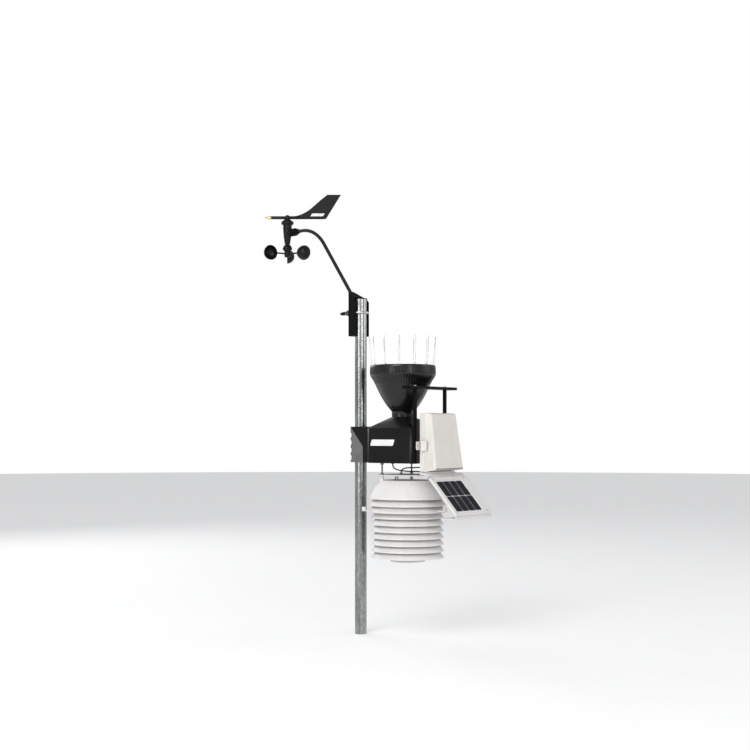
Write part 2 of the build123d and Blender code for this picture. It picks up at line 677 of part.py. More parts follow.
def make_housing():
    """Shallow back box and a deep cover hinged on its right-hand edge."""
    half = HOUSING_HALF
    box = block(-half, half, HOUSING_SPLIT + 0.4, HOUSING_BACK, HOUSING_LOW, HOUSING_TOP)
    inner = HOUSING_HALF - HOUSING_WALL
    low_z = HOUSING_LOW + HOUSING_WALL
    top_z = HOUSING_TOP - HOUSING_WALL
    box -= block(-inner, inner, HOUSING_SPLIT - 1, HOUSING_BACK - 2.4, low_z, top_z)
    lead_x, _, lead_z = FAN_LEAD[-1]
    box -= Pos(lead_x, HOUSING_BACK, lead_z) * Rot(90, 0, 0) * Cylinder(LEAD_R + 0.05, 20)
    for low, high in HINGE_BOX_KNUCKLES:
        box += drum(3.2, low, high, HINGE_X, HOUSING_SPLIT)
        box += block(inner, HINGE_X, HOUSING_SPLIT + 0.4, HOUSING_SPLIT + 3.2, low, high)
    box -= drum(PIN_R, HOUSING_LOW, HOUSING_TOP, HINGE_X, HOUSING_SPLIT)
    for low, high in ((489.5, 493.6), (519.9, 524.0)):
        box += block(LATCH_X, -HOUSING_HALF, LATCH_Y - 2.6, LATCH_Y + 2.6, low, high)
        box += drum(2.8, low, high, LATCH_X, LATCH_Y)
    box += drum(LATCH_PIN_R, 489.5, 524.0, LATCH_X, LATCH_Y)
    eye = block(EYE_REACH, -half, HOUSING_BACK - 2.4, HOUSING_BACK - 0.2, 496.0, 517.5)
    eye = fillet(eye.edges().filter_by(Axis.Y).group_by(Axis.X)[0], 3.0)
    eye -= Pos(EYE_REACH + 5.5, HOUSING_BACK, 506.8) * Rot(90, 0, 0) * Cylinder(2.6, 10)
    box += eye
    save("housing_backplate", box)
    form = housing_form(0.0, HOUSING_SPLIT)
    form = fillet(form.faces().sort_by(Axis.Y)[0].edges(), FACE_ROUND)
    cover = form - housing_form(HOUSING_WALL, HOUSING_SPLIT + 0.5)
    lower_face = block(-52, 52, FACE_LOW_Y - 3, FACE_TOP_Y, FACE_LOW_Z + 4, FACE_STEP_Z)
    cover += (Pos(0, -0.8, 0) * form) & lower_face
    for place in range(SIDE_RIBS):
        low = FACE_LOW_Z + 6 + SIDE_RIB_PITCH * place
        rib = block(-HOUSING_HALF - 5, 0, FACE_LOW_Y + 10, HOUSING_SPLIT - 3, low, low + 1.6)
        cover += (Pos(-0.9, 0, 0) * form) & rib
    cover -= housing_form(HOUSING_WALL, HOUSING_SPLIT + 0.5)
    for low, high in HINGE_COVER_KNUCKLES:
        cover += drum(3.2, low, high, HINGE_X, HOUSING_SPLIT)
        cover += block(inner, HINGE_X, HOUSING_SPLIT - 3.2, HOUSING_SPLIT, low, high)
    cover -= drum(PIN_R + RUNNING, HOUSING_LOW, HOUSING_TOP, HINGE_X, HOUSING_SPLIT)
    for low, high in HINGE_BOX_KNUCKLES:
        cover -= drum(3.6, low - 0.4, high + 0.4, HINGE_X, HOUSING_SPLIT)
    save("housing_cover", cover)


def make_latch():
    """Clip pivoted on the back box that lies over the cover's left-hand side."""
    clip = drum(2.8, 494, 519.5, LATCH_X, LATCH_Y)
    clip += block(LATCH_X - 2.4, LATCH_X - 0.2, -271, LATCH_Y, 494, 519.5)
    clip += block(LATCH_X - 4.4, LATCH_X - 1.2, -272.5, -268.5, 496, 517.5)
    clip -= drum(LATCH_PIN_R + RUNNING, 490, 524, LATCH_X, LATCH_Y)
    save("cover_latch", clip)


def make_electronics():
    """Board, battery and its holder inside the housing."""
    board = block(-46, 46, -256.2, -254.6, 486, 580)
    chips = [(-30, -12, 520, 538), (4, 16, 540, 552), (20, 40, 500, 512), (-38, -26, 556, 568)]
    for x0, x1, z0, z1 in chips:
        board += block(x0, x1, -259.4, -256.2, z0, z1)
    for x in (-40, 40):
        for z in (492, 574):
            board += bar((x, -254.8, z), (x, -248.9, z), 2.6)
    save("circuit_board", board)
    tray = block(-44, 44, -270, -249, 448, 474)
    tray -= block(-42, 42, -271, -251, 450, 472)
    save("battery_holder", tray)
    cell = Pos(0, -260.8, 461) * Rot(0, 90, 0) * Cylinder(8.4, 70)
    cap = Pos(36.5, -260.8, 461) * Rot(0, 90, 0) * Cylinder(2.6, 4)
    save("battery", cell + cap)


# Solar panel


def on_panel(shape):
    """Place a piece drawn flat, with its slope along -Y, on the tilted panel."""
    return Pos(0, PANEL_HINGE_Y, PANEL_HINGE_Z) * Rot(PANEL_TILT, 0, 0) * shape


def make_panel():
    """Tilting panel: folded tray, frame, cells and corner screws."""
    tray = block(-PANEL_HALF + 1, PANEL_HALF - 1, -PANEL_LONG, -6, -1.6, 0.4)
    for side in (-1, 1):
        tray += Pos(side * 44, 0, 0) * Rot(0, 90, 0) * Cylinder(3.4, 30)
        tray += block(side * 44 - 15, side * 44 + 15, -8, 0, -1.6, 0.8)
    tray -= Rot(0, 90, 0) * Cylinder(PIN_R + RUNNING, 200)
    tray = on_panel(tray)
    low_y = PANEL_HINGE_Y - PANEL_LONG * cos(radians(PANEL_TILT))
    low_z = PANEL_HINGE_Z - PANEL_LONG * sin(radians(PANEL_TILT))
    fold = PANEL_HALF - 1
    tray += block(-fold, fold, low_y - 0.6, low_y + 46, low_z - 7.5, low_z - 5.7)
    tray += block(-fold, fold, low_y - 0.6, low_y + 1.4, low_z - 7.5, low_z - 0.4)
    save("panel_tray", tray)
    frame = block(-PANEL_HALF, PANEL_HALF, -PANEL_LONG, -9, 0.4, 5.4)
    frame = fillet(frame.edges().filter_by(Axis.Z), 4)
    mid = -10 - (PANEL_LONG - 10) / 2
    frame -= Pos(CELLS_ASIDE, mid, 3) * Box(2 * CELLS_HALF + 4, CELLS_LONG + 4, 10)
    posts = [(x, y) for x in PANEL_SCREW_X for y in (-15.5, -PANEL_LONG + 7)]
    for x, y in posts:
        frame -= drum(1.6, -1, 8, x, y)
    save("panel_frame", on_panel(frame))
    cells = Pos(CELLS_ASIDE, mid, 2.2) * Box(2 * CELLS_HALF + 4, CELLS_LONG + 4, 3.6)
    save("solar_cells", on_panel(cells))
    screws = []
    for x, y in posts:
        head = turned([(0, 7.6), (2.2, 7.2), (3.6, 5.4), (0, 5.4)], x, y)
        screws.append(on_panel(head + drum(1.6, 0.4, 5.5, x, y)))
    save("panel_screws", group(screws))


def make_panel_bracket():
    """Strip under the housing with the fixed knuckles of the panel's hinge."""
    strip = block(-60, 60, PANEL_HINGE_Y + 4, -248, 433.2, 436.8)
    strip += block(-52, 52, -276, -256, 436.8, HOUSING_LOW)
    hinge = Pos(0, PANEL_HINGE_Y, PANEL_HINGE_Z) * Rot(0, 90, 0)
    low_z = PANEL_HINGE_Z + 1.4
    for x0, x1 in ((-28.5, 28.5), (-76, -59.5), (59.5, 76)):
        strip += Pos((x0 + x1) / 2, 0, 0) * hinge * Cylinder(3.4, x1 - x0)
        strip += block(x0, x1, PANEL_HINGE_Y, PANEL_HINGE_Y + 7, low_z, low_z + 2)
    strip += block(-76, 76, PANEL_HINGE_Y + 4, PANEL_HINGE_Y + 9, 433.2, 436.8)
    strip -= hinge * Cylinder(PIN_R, 200)
    save("panel_bracket", strip)


def make_hinge_pins():
    """Pins of the cover's hinge and of the panel's hinge."""
    cover_pin = drum(PIN_R, HINGE_BOX_KNUCKLES[0][0], HINGE_BOX_KNUCKLES[-1][1], HINGE_X, HOUSING_SPLIT)
    panel_pin = Pos(0, PANEL_HINGE_Y, PANEL_HINGE_Z) * Rot(0, 90, 0) * Cylinder(PIN_R, 152)
    save("hinge_pins", group([cover_pin, panel_pin]))


# Radiation shield


def rod_places():
    """Centres of the three hanging rods."""
    return [(ROD_OUT * cos(radians(t)), SHIELD_Y + ROD_OUT * sin(radians(t))) for t in ROD_TURNS]


def shield_ring(tip_r, tip_z, root_r, high, open_r, thick=2.0):
    """Downward-flared louvre plate with a flat web that reaches the rods."""
    root_z = tip_z + high
    ring = turned([
        (open_r, root_z), (root_r - 4, root_z), (root_r, root_z - 2.5), (tip_r, tip_z + 1.4),
        (tip_r, tip_z), (tip_r - 1.6, tip_z), (root_r - 2.2, root_z - thick - 3.0),
        (root_r - 5, root_z - thick), (open_r, root_z - thick),
    ], 0, SHIELD_Y)
    for x, y in rod_places():
        ring -= drum(ROD_R + 0.1, tip_z - 5, root_z + 5, x, y)
    return ring


def make_shield_plates():
    """Dome, two wide plates and seven small plates, stacked with air gaps."""
    dome = turned([
        (0, SHIELD_TOP), (69, SHIELD_TOP), (74, SHIELD_TOP - 3), (84.5, 401), (94, 384.5),
        (101, 370), (101, 368.5), (98.8, 368.5), (92, 383), (82.6, 399.4),
        (72.8, SHIELD_TOP - 5), (68, SHIELD_TOP - 2.4), (0, SHIELD_TOP - 2.4),
    ], 0, SHIELD_Y)
    for x, y in rod_places():
        dome += drum(6.2, DOME_BOSS_LOW, SHIELD_TOP, x, y)
        dome -= drum(ROD_R + 0.1, DOME_BOSS_LOW - 1, SHIELD_TOP + 1, x, y)
    save("shield_dome", dome)
    save("shield_upper_plate", shield_ring(100.5, 350.5, 89, 18.5, 64))
    lugs = shield_ring(103, 334, 90, 17.5, 64)
    for turn in ROD_TURNS:
        spin = Pos(0, SHIELD_Y, 0) * Rot(0, 0, turn)
        lugs += spin * (block(94, LUG_OUT, -4.2, 4.2, 338, 341) + drum(5.0, 338, 349, LUG_OUT))
        lugs -= spin * drum(2.4, 330, 360, LUG_OUT)
    save("shield_lug_plate", lugs)
    plates = []
    for place in range(PLATE_COUNT):
        tip = FIRST_TIP_Z - place * PLATE_PITCH
        inner = 56.0 if place < PLATE_COUNT - 1 else 40.5
        plates.append(shield_ring(94.2, tip, 85.5, 15.5, inner))
    save("shield_plates", group(plates))


def make_hangers():
    """Threaded rods from the base through the plates, standoffs and nuts."""
    last_web = FIRST_TIP_Z - (PLATE_COUNT - 1) * PLATE_PITCH + 13.5
    rods = []
    spacers = []
    nuts = []
    flats = RegularPolygon(4.0, 6, major_radius=False)
    for x, y in rod_places():
        rods.append(drum(ROD_R, last_web - 6, BASE_LOW, x, y))
        gaps = [(SHIELD_TOP, 429.0), (369.0, DOME_BOSS_LOW), (353.4, 367.0), (334.0, 349.5)]
        for place in range(PLATE_COUNT - 1):
            web = FIRST_TIP_Z + 15.5 - place * PLATE_PITCH
            gaps.append((web - PLATE_PITCH, web - 2.0))
        for low, high in gaps:
            spacers.append(tube(SPACER_R, ROD_R + 0.1, low, high, x, y))
        for low in (last_web - 4.0, 431.0, BASE_LOW - 4.0):
            nut = extrude(Pos(x, y, low) * flats, 4.0)
            nuts.append(nut - drum(ROD_R + 0.05, low - 1, low + 5, x, y))
    save("shield_rods", group(rods))
    save("shield_standoffs", group(spacers))
    save("shield_rod_nuts", group(nuts))
    plate = drum(ROD_OUT + 7, 429.0, 431.0, 0, SHIELD_Y)
    gland_x, gland_y, gland_top = FAN_LEAD[0]
    plate += drum(3.8, 430.0, gland_top, gland_x, gland_y)
    for x, y in rod_places():
        plate -= drum(ROD_R + 0.1, 420, 440, x, y)
    save("shield_top_plate", plate)


def make_fan():
    """Motor in the bottom cap, impeller above it and the sensor in the middle."""
    cap = turned([
        (0, 204.0), (34, 204.0), (45, 205.6), (48.6, 209.5), (48.6, 213), (40.3, 213),
        (40.3, 240), (38.3, 240), (38.3, 211), (30, 208.4), (30, 206.8), (0, 206.8),
    ], 0, SHIELD_Y)
    for turn in range(0, 360, 30):
        cap -= Pos(0, SHIELD_Y, 0) * Rot(0, 0, turn) * block(17, 33, -2.6, 2.6, 195, 212)
    save("fan_housing", cap)
    motor = drum(12, 206.8, FAN_Z - 1, 0, SHIELD_Y)
    motor += drum(SHAFT_R, FAN_Z - 2, FAN_Z + 12, 0, SHIELD_Y)
    save("fan_motor", motor)
    hub = tube(9, SHAFT_R + RUNNING, FAN_Z, FAN_Z + 10)
    for turn in range(0, 360, 60):
        blade = Pos(21, 0, FAN_Z + 5) * Rot(28, 0, 0) * Box(27, 11, 1.4)
        hub += Rot(0, 0, turn) * blade
    hub &= drum(36.5, FAN_Z - 5, FAN_Z + 15)
    hub -= drum(SHAFT_R + RUNNING, FAN_Z - 3, FAN_Z + 13)
    save("fan_impeller", Pos(0, SHIELD_Y, 0) * hub)


def make_sensor():
    """Sensor tube under a three-armed carrier that is clamped on the rods."""
    probe = tube(10, 8.4, 300, 345) + drum(10, 340, 351.7)
    spider = drum(14, 351.6, 353.3, 0, SHIELD_Y) + Pos(0, SHIELD_Y, 0) * probe
    for turn in ROD_TURNS:
        spin = Pos(0, SHIELD_Y, 0) * Rot(0, 0, turn)
        spider += spin * block(0, 77, -6, 6, 351.6, 353.3)
    for x, y in rod_places():
        spider -= drum(ROD_R + 0.1, 345, 360, x, y)
    save("temp_humidity_sensor", spider)


# Cords


def corner_radii(points):
    """Largest tangent arc at each corner: 0.45 of the shorter run over tan(half turn)."""
    radii = []
    for before, here, after in zip(points, points[1:], points[2:]):
        arrive = Vector(*here) - Vector(*before)
        leave = Vector(*after) - Vector(*here)
        half_turn = radians(arrive.get_angle(leave)) / 2
        radii.append(0.45 * min(arrive.length, leave.length) / tan(half_turn))
    return radii


def make_cord(name, points):
    """Plain tube of a cord along straight runs joined by tangent arcs."""
    radii = corner_radii(points)
    path = FilletPolyline(*points, radius=radii)
    section = Plane(origin=points[0], z_dir=path % 0) * Circle(LEAD_R)
    cord = sweep(section, path=path)
    print(name, "radii", [round(r, 1) for r in radii], "length", round(path.length, 1),
          "volume ratio", round(cord.volume / (pi * LEAD_R**2 * path.length), 3))
    save(name, cord)


def main():
    os.makedirs("parts", exist_ok=True)
    make_mast()
    make_clamps()
    make_arm()
    make_mount()
    make_collar()
    make_head()
    make_head_works()
    make_vane()
    make_cups()
    make_funnel()
    make_screen()
    make_spikes()
    make_base()
    make_floor()
    make_bucket()
    make_bucket_frame()
    make_bracket()
    make_shelf()
    make_front_plate()
    make_housing()
    make_latch()
    make_electronics()
    make_panel()
    make_panel_bracket()
    make_shield_plates()
    make_hangers()
    make_fan()
    make_sensor()
    make_hinge_pins()
    make_cord("panel_lead", PANEL_LEAD)
    make_cord("fan_lead", FAN_LEAD)


main()
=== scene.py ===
import json
from math import cos, pi, radians, sin

import bmesh
import bpy
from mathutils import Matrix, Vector


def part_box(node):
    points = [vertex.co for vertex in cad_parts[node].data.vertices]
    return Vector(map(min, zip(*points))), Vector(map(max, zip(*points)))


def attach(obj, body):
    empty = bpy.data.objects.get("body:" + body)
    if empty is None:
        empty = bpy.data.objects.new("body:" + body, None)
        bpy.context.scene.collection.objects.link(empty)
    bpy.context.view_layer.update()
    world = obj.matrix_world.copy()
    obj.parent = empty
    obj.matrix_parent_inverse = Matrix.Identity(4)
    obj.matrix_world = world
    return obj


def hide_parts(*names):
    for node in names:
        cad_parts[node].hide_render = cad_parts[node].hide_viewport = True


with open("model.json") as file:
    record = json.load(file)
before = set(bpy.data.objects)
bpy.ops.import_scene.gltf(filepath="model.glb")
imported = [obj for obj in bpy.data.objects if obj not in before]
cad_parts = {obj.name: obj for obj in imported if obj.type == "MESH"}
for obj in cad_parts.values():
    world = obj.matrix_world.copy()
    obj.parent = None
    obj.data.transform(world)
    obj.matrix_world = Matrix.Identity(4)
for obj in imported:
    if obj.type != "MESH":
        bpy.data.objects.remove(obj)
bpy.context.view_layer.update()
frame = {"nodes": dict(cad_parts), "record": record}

STATION = "station"


# ---------------------------------------------------------------- camera, light, floor

CAMERA_TURN = radians(-50)      # the camera stands to the left of the front
CAMERA_AWAY = 3.3625            # from the mast's axis, level
CAMERA_ASIDE = 0.0382           # towards the image's right
CAMERA_HIGH = 0.539
LENS = 60.0
HORIZON_SHIFT = 0.0773333333  # of the picture width: lens shift that puts the horizon in its place
SENSOR_WIDE = 36
SURROUND_SEEN = 1.0
SURROUND_LIGHT = 0.5
STUDIO_MIDDLE = (0, -0.1, 0.65)
MAST_MIDDLE = (0, 0, 0.95)
FLOOR_R = 14.0
FLOOR_GLOW = 0.3


def make_camera():
    """Level camera at the photograph's viewing angle."""
    right = Vector((cos(CAMERA_TURN), sin(CAMERA_TURN), 0))
    back = Vector((sin(CAMERA_TURN), -cos(CAMERA_TURN), 0))
    data = bpy.data.cameras.new("camera")
    data.lens = LENS
    data.sensor_width = SENSOR_WIDE
    data.shift_y = HORIZON_SHIFT
    camera = bpy.data.objects.new("camera", data)
    camera.location = back * CAMERA_AWAY + right * CAMERA_ASIDE + Vector((0, 0, CAMERA_HIGH))
    camera.rotation_euler = (pi / 2, 0, CAMERA_TURN)
    bpy.context.scene.collection.objects.link(camera)
    bpy.context.scene.camera = camera


def make_light(name, place, aim, wide, high, watts):
    """Soft box at a place, aimed at a point."""
    data = bpy.data.lights.new(name, "AREA")
    data.shape = "RECTANGLE"
    data.size = wide
    data.size_y = high
    data.energy = watts
    light = bpy.data.objects.new(name, data)
    light.location = place
    light.rotation_euler = (Vector(place) - Vector(aim)).to_track_quat("Z", "Y").to_euler()
    bpy.context.scene.collection.objects.link(light)


def make_studio():
    """White surround, five soft boxes and a pale floor."""
    scene = bpy.context.scene
    scene.view_settings.view_transform = "Standard"
    world = bpy.data.worlds.new("surround")
    scene.world = world
    world.use_nodes = True
    tree = world.node_tree
    seen = tree.nodes.new("ShaderNodeBackground")
    seen.inputs["Color"].default_value = (1, 1, 1, 1)
    seen.inputs["Strength"].default_value = SURROUND_SEEN
    lighting = tree.nodes["Background"]
    lighting.inputs["Color"].default_value = (0.97, 0.98, 1, 1)
    lighting.inputs["Strength"].default_value = SURROUND_LIGHT
    path = tree.nodes.new("ShaderNodeLightPath")
    mix = tree.nodes.new("ShaderNodeMixShader")
    tree.links.new(path.outputs["Is Camera Ray"], mix.inputs[0])
    tree.links.new(lighting.outputs[0], mix.inputs[1])
    tree.links.new(seen.outputs[0], mix.inputs[2])
    tree.links.new(mix.outputs[0], tree.nodes["World Output"].inputs["Surface"])
    make_light("key", (-3.2, -1.0, 2.7), STUDIO_MIDDLE, 1.8, 1.8, 74)
    make_light("fill", (2.2, -2.8, 1.7), STUDIO_MIDDLE, 2.0, 2.0, 15)
    make_light("back", (0.6, 3.0, 2.2), STUDIO_MIDDLE, 2.4, 2.4, 36)
    make_light("left_strip", (-3.6, -0.15, 1.0), MAST_MIDDLE, 0.4, 1.7, 14)
    make_light("near_strip", (-1.5, -3.25, 1.0), MAST_MIDDLE, 0.35, 1.7, 15)
    floor = mesh_piece("floor", *disc_mesh(FLOOR_R, 96), floor_material())


# ---------------------------------------------------------------- mesh helpers

SHARP_ANGLE = 35
MERGE_DISTANCE = 1e-6


def mesh_piece(name, verts, faces, material, body=None, slot=None, stands_for=(), sharp=SHARP_ANGLE):
    """Mesh object with smooth shading that breaks at sharp edges."""
    mesh = bpy.data.meshes.new(name)
    mesh.from_pydata([tuple(v) for v in verts], [], faces)
    mesh.validate()
    work = bmesh.new()
    work.from_mesh(mesh)
    bmesh.ops.remove_doubles(work, verts=work.verts, dist=MERGE_DISTANCE)
    bmesh.ops.recalc_face_normals(work, faces=work.faces)
    work.to_mesh(mesh)
    work.free()
    mesh.polygons.foreach_set("use_smooth", [True] * len(mesh.polygons))
    mesh.set_sharp_from_angle(angle=radians(sharp))
    mesh.materials.append(material)
    piece = bpy.data.objects.new(name, mesh)
    bpy.context.scene.collection.objects.link(piece)
    if body:
        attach(piece, body)
    if stands_for:
        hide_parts(*stands_for)
    return piece


def disc_mesh(radius, count):
    """Flat round disc on the ground."""
    angles = [2 * pi * i / count for i in range(count)]
    verts = [(radius * cos(angle), radius * sin(angle), 0) for angle in angles]
    return verts, [tuple(range(count))]


def spline_points(points, steps):
    """Catmull-Rom curve through 2-D points, with the given steps to a span."""
    padded = [points[0], *points, points[-1]]
    curve = []
    for p0, p1, p2, p3 in zip(padded, padded[1:], padded[2:], padded[3:]):
        for i in range(steps):
            t = i / steps
            curve.append(tuple(
                0.5 * (2 * b + (c - a) * t + (2 * a - 5 * b + 4 * c - d) * t**2
                       + (3 * b - a - 3 * c + d) * t**3)
                for a, b, c, d in zip(p0, p1, p2, p3)))
    curve.append(points[-1])
    return curve


def rounded(points, radius, steps=4):
    """Closed 2-D outline with every corner rounded by at most the radius."""
    outline = []
    count = len(points)
    for i in range(count):
        here = Vector(points[i])
        before = Vector(points[i - 1]) - here
        after = Vector(points[(i + 1) % count]) - here
        cut = min(radius, 0.45 * before.length, 0.45 * after.length)
        start = here + before.normalized() * cut
        end = here + after.normalized() * cut
        for step in range(steps + 1):
            t = step / steps
            outline.append(tuple((1 - t)**2 * start + 2 * t * (1 - t) * here + t**2 * end))
    return outline


def ring_faces(rows, count):
    """Faces between closed rings of vertices, from the last ring back to the first."""
    faces = []
    for row in range(rows):
        low, high = row * count, (row + 1) % rows * count
        for i in range(count):
            j = (i + 1) % count
            faces.append((low + i, low + j, high + j, high + i))
    return faces


def lathe(profile, centre, count=128, grow=None):
    """A closed (radius, height) profile turned about an upright axis."""
    verts = []
    for r, z in profile:
        for i in range(count):
            angle = 2 * pi * i / count
            reach = r + (grow(angle, r, z) if grow else 0)
            verts.append((centre[0] + reach * cos(angle), centre[1] + reach * sin(angle), z))
    return verts, ring_faces(len(profile), count)


def box_mesh(low, high):
    """Vertices and faces of an upright box between two corners."""
    (x0, y0, z0), (x1, y1, z1) = low, high
    verts = [(x, y, z) for z in (z0, z1) for x, y in ((x0, y0), (x1, y0), (x1, y1), (x0, y1))]
    faces = [(3, 2, 1, 0), (4, 5, 6, 7)]
    faces += [(i, (i + 1) % 4, (i + 1) % 4 + 4, i + 4) for i in range(4)]
    return verts, faces


def prism_mesh(outline, place, low, high):
    """A 2-D outline grown from low to high; place(u, v, w) gives the 3-D point."""
    count = len(outline)
    verts = [place(u, v, w) for w in (low, high) for u, v in outline]
    faces = [tuple(range(count))[::-1], tuple(range(count, 2 * count))]
    faces += [(i, (i + 1) % count, (i + 1) % count + count, i + count) for i in range(count)]
    return verts, faces


def rod_mesh(start, end, radius, count=16):
    """Straight round bar between two points; radius may be a pair for a taper."""
    start, end = Vector(start), Vector(end)
    radii = radius if isinstance(radius, tuple) else (radius, radius)
    turn = (end - start).to_track_quat("Z", "Y")
    verts = []
    for point, r in zip((start, end), radii):
        for i in range(count):
            angle = 2 * pi * i / count
            verts.append(point + turn @ Vector((r * cos(angle), r * sin(angle), 0)))
    faces = [(i, (i + 1) % count, (i + 1) % count + count, i + count) for i in range(count)]
    faces += [tuple(range(count))[::-1], tuple(range(count, 2 * count))]
    return verts, faces


def joined(parts):
    """Several (vertices, faces) pairs as one."""
    verts, faces = [], []
    for part_verts, part_faces in parts:
        base = len(verts)
        verts += list(part_verts)
        faces += [tuple(i + base for i in face) for face in part_faces]
    return verts, faces


def soft_edges(piece, width):
    """Small rounded edges."""
    bevel = piece.modifiers.new("edges", "BEVEL")
    bevel.width = width
    bevel.segments = 2
    bevel.limit_method = "ANGLE"
    bevel.angle_limit = radians(SHARP_ANGLE)
    bevel.harden_normals = False
    bevel.use_clamp_overlap = True


# ---------------------------------------------------------------- materials


class Shader:
    """One procedural material, built on a Principled shader in object space."""

    def __init__(self, name):
        self.material = bpy.data.materials.new(name)
        self.material.use_nodes = True
        self.tree = self.material.node_tree
        self.shader = self.tree.nodes["Principled BSDF"]
        self.place = self.tree.nodes.new("ShaderNodeTexCoord").outputs["Object"]

    def set(self, **values):
        """Set the shader's own sockets; an underscore stands for a space."""
        for name, value in values.items():
            self.shader.inputs[name.replace("_", " ")].default_value = value

    def mapped(self, scale):
        """Object coordinates stretched along each axis."""
        node = self.tree.nodes.new("ShaderNodeMapping")
        node.inputs["Scale"].default_value = scale
        self.tree.links.new(self.place, node.inputs["Vector"])
        return node.outputs["Vector"]

    def noise(self, scale, detail=3.0, stretch=(1, 1, 1)):
        """Soft cloudy value from 0 to 1."""
        node = self.tree.nodes.new("ShaderNodeTexNoise")
        node.inputs["Scale"].default_value = scale
        node.inputs["Detail"].default_value = detail
        node.inputs["Roughness"].default_value = 0.55
        self.tree.links.new(self.mapped(stretch), node.inputs["Vector"])
        return node.outputs["Fac"]

    def cells(self, scale, stretch=(1, 1, 1)):
        """Flat random value for each cell."""
        node = self.tree.nodes.new("ShaderNodeTexVoronoi")
        node.inputs["Scale"].default_value = scale
        self.tree.links.new(self.mapped(stretch), node.inputs["Vector"])
        level = self.tree.nodes.new("ShaderNodeRGBToBW")
        self.tree.links.new(node.outputs["Color"], level.inputs["Color"])
        return level.outputs["Val"]

    def ramp(self, value, stops):
        """Colour from a value, through (place, colour) stops."""
        node = self.tree.nodes.new("ShaderNodeValToRGB")
        ramp = node.color_ramp
        while len(ramp.elements) < len(stops):
            ramp.elements.new(0.5)
        for element, (place, colour) in zip(ramp.elements, stops):
            element.position = place
            element.color = (*colour, 1)
        self.tree.links.new(value, node.inputs["Fac"])
        return node.outputs["Color"]

    def blend(self, value, low, high):
        """A number that runs from low to high as value runs from 0 to 1."""
        node = self.tree.nodes.new("ShaderNodeMapRange")
        node.inputs["To Min"].default_value = low
        node.inputs["To Max"].default_value = high
        self.tree.links.new(value, node.inputs["Value"])
        return node.outputs["Result"]

    def multiply(self, amount, one, two):
        """One colour darkened by another."""
        node = self.tree.nodes.new("ShaderNodeMix")
        node.data_type = "RGBA"
        node.blend_type = "MULTIPLY"
        node.inputs[0].default_value = amount
        self.tree.links.new(one, node.inputs[6])
        self.tree.links.new(two, node.inputs[7])
        return node.outputs[2]

    def colour(self, source):
        self.tree.links.new(source, self.shader.inputs["Base Color"])

    def rough(self, source):
        self.tree.links.new(source, self.shader.inputs["Roughness"])

    def bump(self, height, strength, distance=0.0004):
        node = self.tree.nodes.new("ShaderNodeBump")
        node.inputs["Strength"].default_value = strength
        node.inputs["Distance"].default_value = distance
        self.tree.links.new(height, node.inputs["Height"])
        self.tree.links.new(node.outputs["Normal"], self.shader.inputs["Normal"])


def grey(value, warm=0.0):
    """Grey of a brightness, a little redder where warm is above nothing."""
    return (value * (1 + warm), value, value * (1 - warm))


def floor_material():
    s = Shader("studio_floor")
    s.colour(s.ramp(s.noise(6), [(0.3, grey(0.69)), (0.7, grey(0.71))]))
    s.rough(s.blend(s.noise(20), 0.7, 0.8))
    s.set(Emission_Color=(1, 1, 1, 1), Emission_Strength=FLOOR_GLOW)
    return s.material


def moulded(name, colour, rough, grain=900, grain_depth=0.12, dirt=0.9):
    """Moulded plastic: faint mottling, fine grain, and rain streaks down the sides."""
    s = Shader(name)
    shade = tuple(c * dirt for c in colour)
    body = s.ramp(s.noise(14, 4), [(0.3, shade), (0.7, colour)])
    streak = s.ramp(s.noise(60, 3, (1, 1, 0.06)), [(0.45, grey(1.0)), (0.8, grey(dirt, 0.02))])
    s.colour(s.multiply(1.0, body, streak))
    s.rough(s.blend(s.noise(40, 4), rough - 0.07, rough + 0.09))
    s.bump(s.noise(grain, 2), grain_depth)
    return s


def galvanised():
    """Hot-dipped zinc: small crystals drawn out along the tube, with long dull streaks, and painted
    light and shade along its height.
    """
    s = Shader("galvanised_zinc")
    spangle = s.ramp(
        s.cells(260, (1, 1, 0.45)), [(0.1, grey(0.36)), (0.5, grey(0.44)), (0.9, grey(0.54))])
    patch = s.ramp(s.noise(34, 5, (1, 1, 0.12)), [(0.36, (0.56, 0.6, 0.58)), (0.64, grey(1.0))])
    fleck = s.ramp(s.noise(190, 3, (1, 1, 0.4)), [(0.35, grey(0.72)), (0.55, grey(1.0))])
    height = s.tree.nodes.new("ShaderNodeSeparateXYZ")
    s.tree.links.new(s.place, height.inputs["Vector"])
    # Painted light and shade: the tube is darker and slightly greener towards the bottom, and
    # brighter towards the top.
    height_light_and_shade = s.ramp(
        height.outputs["Z"], [(0.35, (0.84, 0.87, 0.85)), (0.62, grey(1.0)), (0.8, grey(1.35))])
    metal = s.multiply(0.7, s.multiply(1.0, spangle, patch), fleck)
    s.colour(s.multiply(1.0, metal, height_light_and_shade))
    s.set(Metallic=0.95)
    s.rough(s.blend(s.noise(60, 4, (1, 1, 0.15)), 0.1, 0.3))
    s.bump(s.noise(240, 3, (1, 1, 0.5)), 0.12)
    return s.material


def bright_steel(name, low, high, rough, warm=0.0):
    """Bare or plated metal between two brightnesses."""
    s = Shader(name)
    s.colour(s.ramp(s.noise(90, 4), [(0.3, grey(low, warm)), (0.7, grey(high, warm))]))
    s.set(Metallic=1.0)
    s.rough(s.blend(s.noise(220, 3), rough - 0.08, rough + 0.12))
    s.bump(s.noise(700, 2, (1, 1, 0.2)), 0.1)
    return s.material


def satin_metal_and_bracket_light():
    """Satin grey metal of the motor and magnets, also laid on the bracket plates, where its light
    grey is painted light for light on the black bracket's angled faces.
    """
    s = Shader("satin_grey_metal_and_painted_bracket_light")
    # On the bracket plates this lighter grey is painted light. On the motor, magnets and
    # potentiometer it is their own grey.
    s.colour(s.ramp(s.noise(30, 4), [(0.3, grey(0.13)), (0.7, grey(0.18))]))
    s.set(Metallic=0.35)
    s.rough(s.blend(s.noise(80, 3), 0.4, 0.58))
    s.bump(s.noise(600, 3), 0.12)
    return s.material


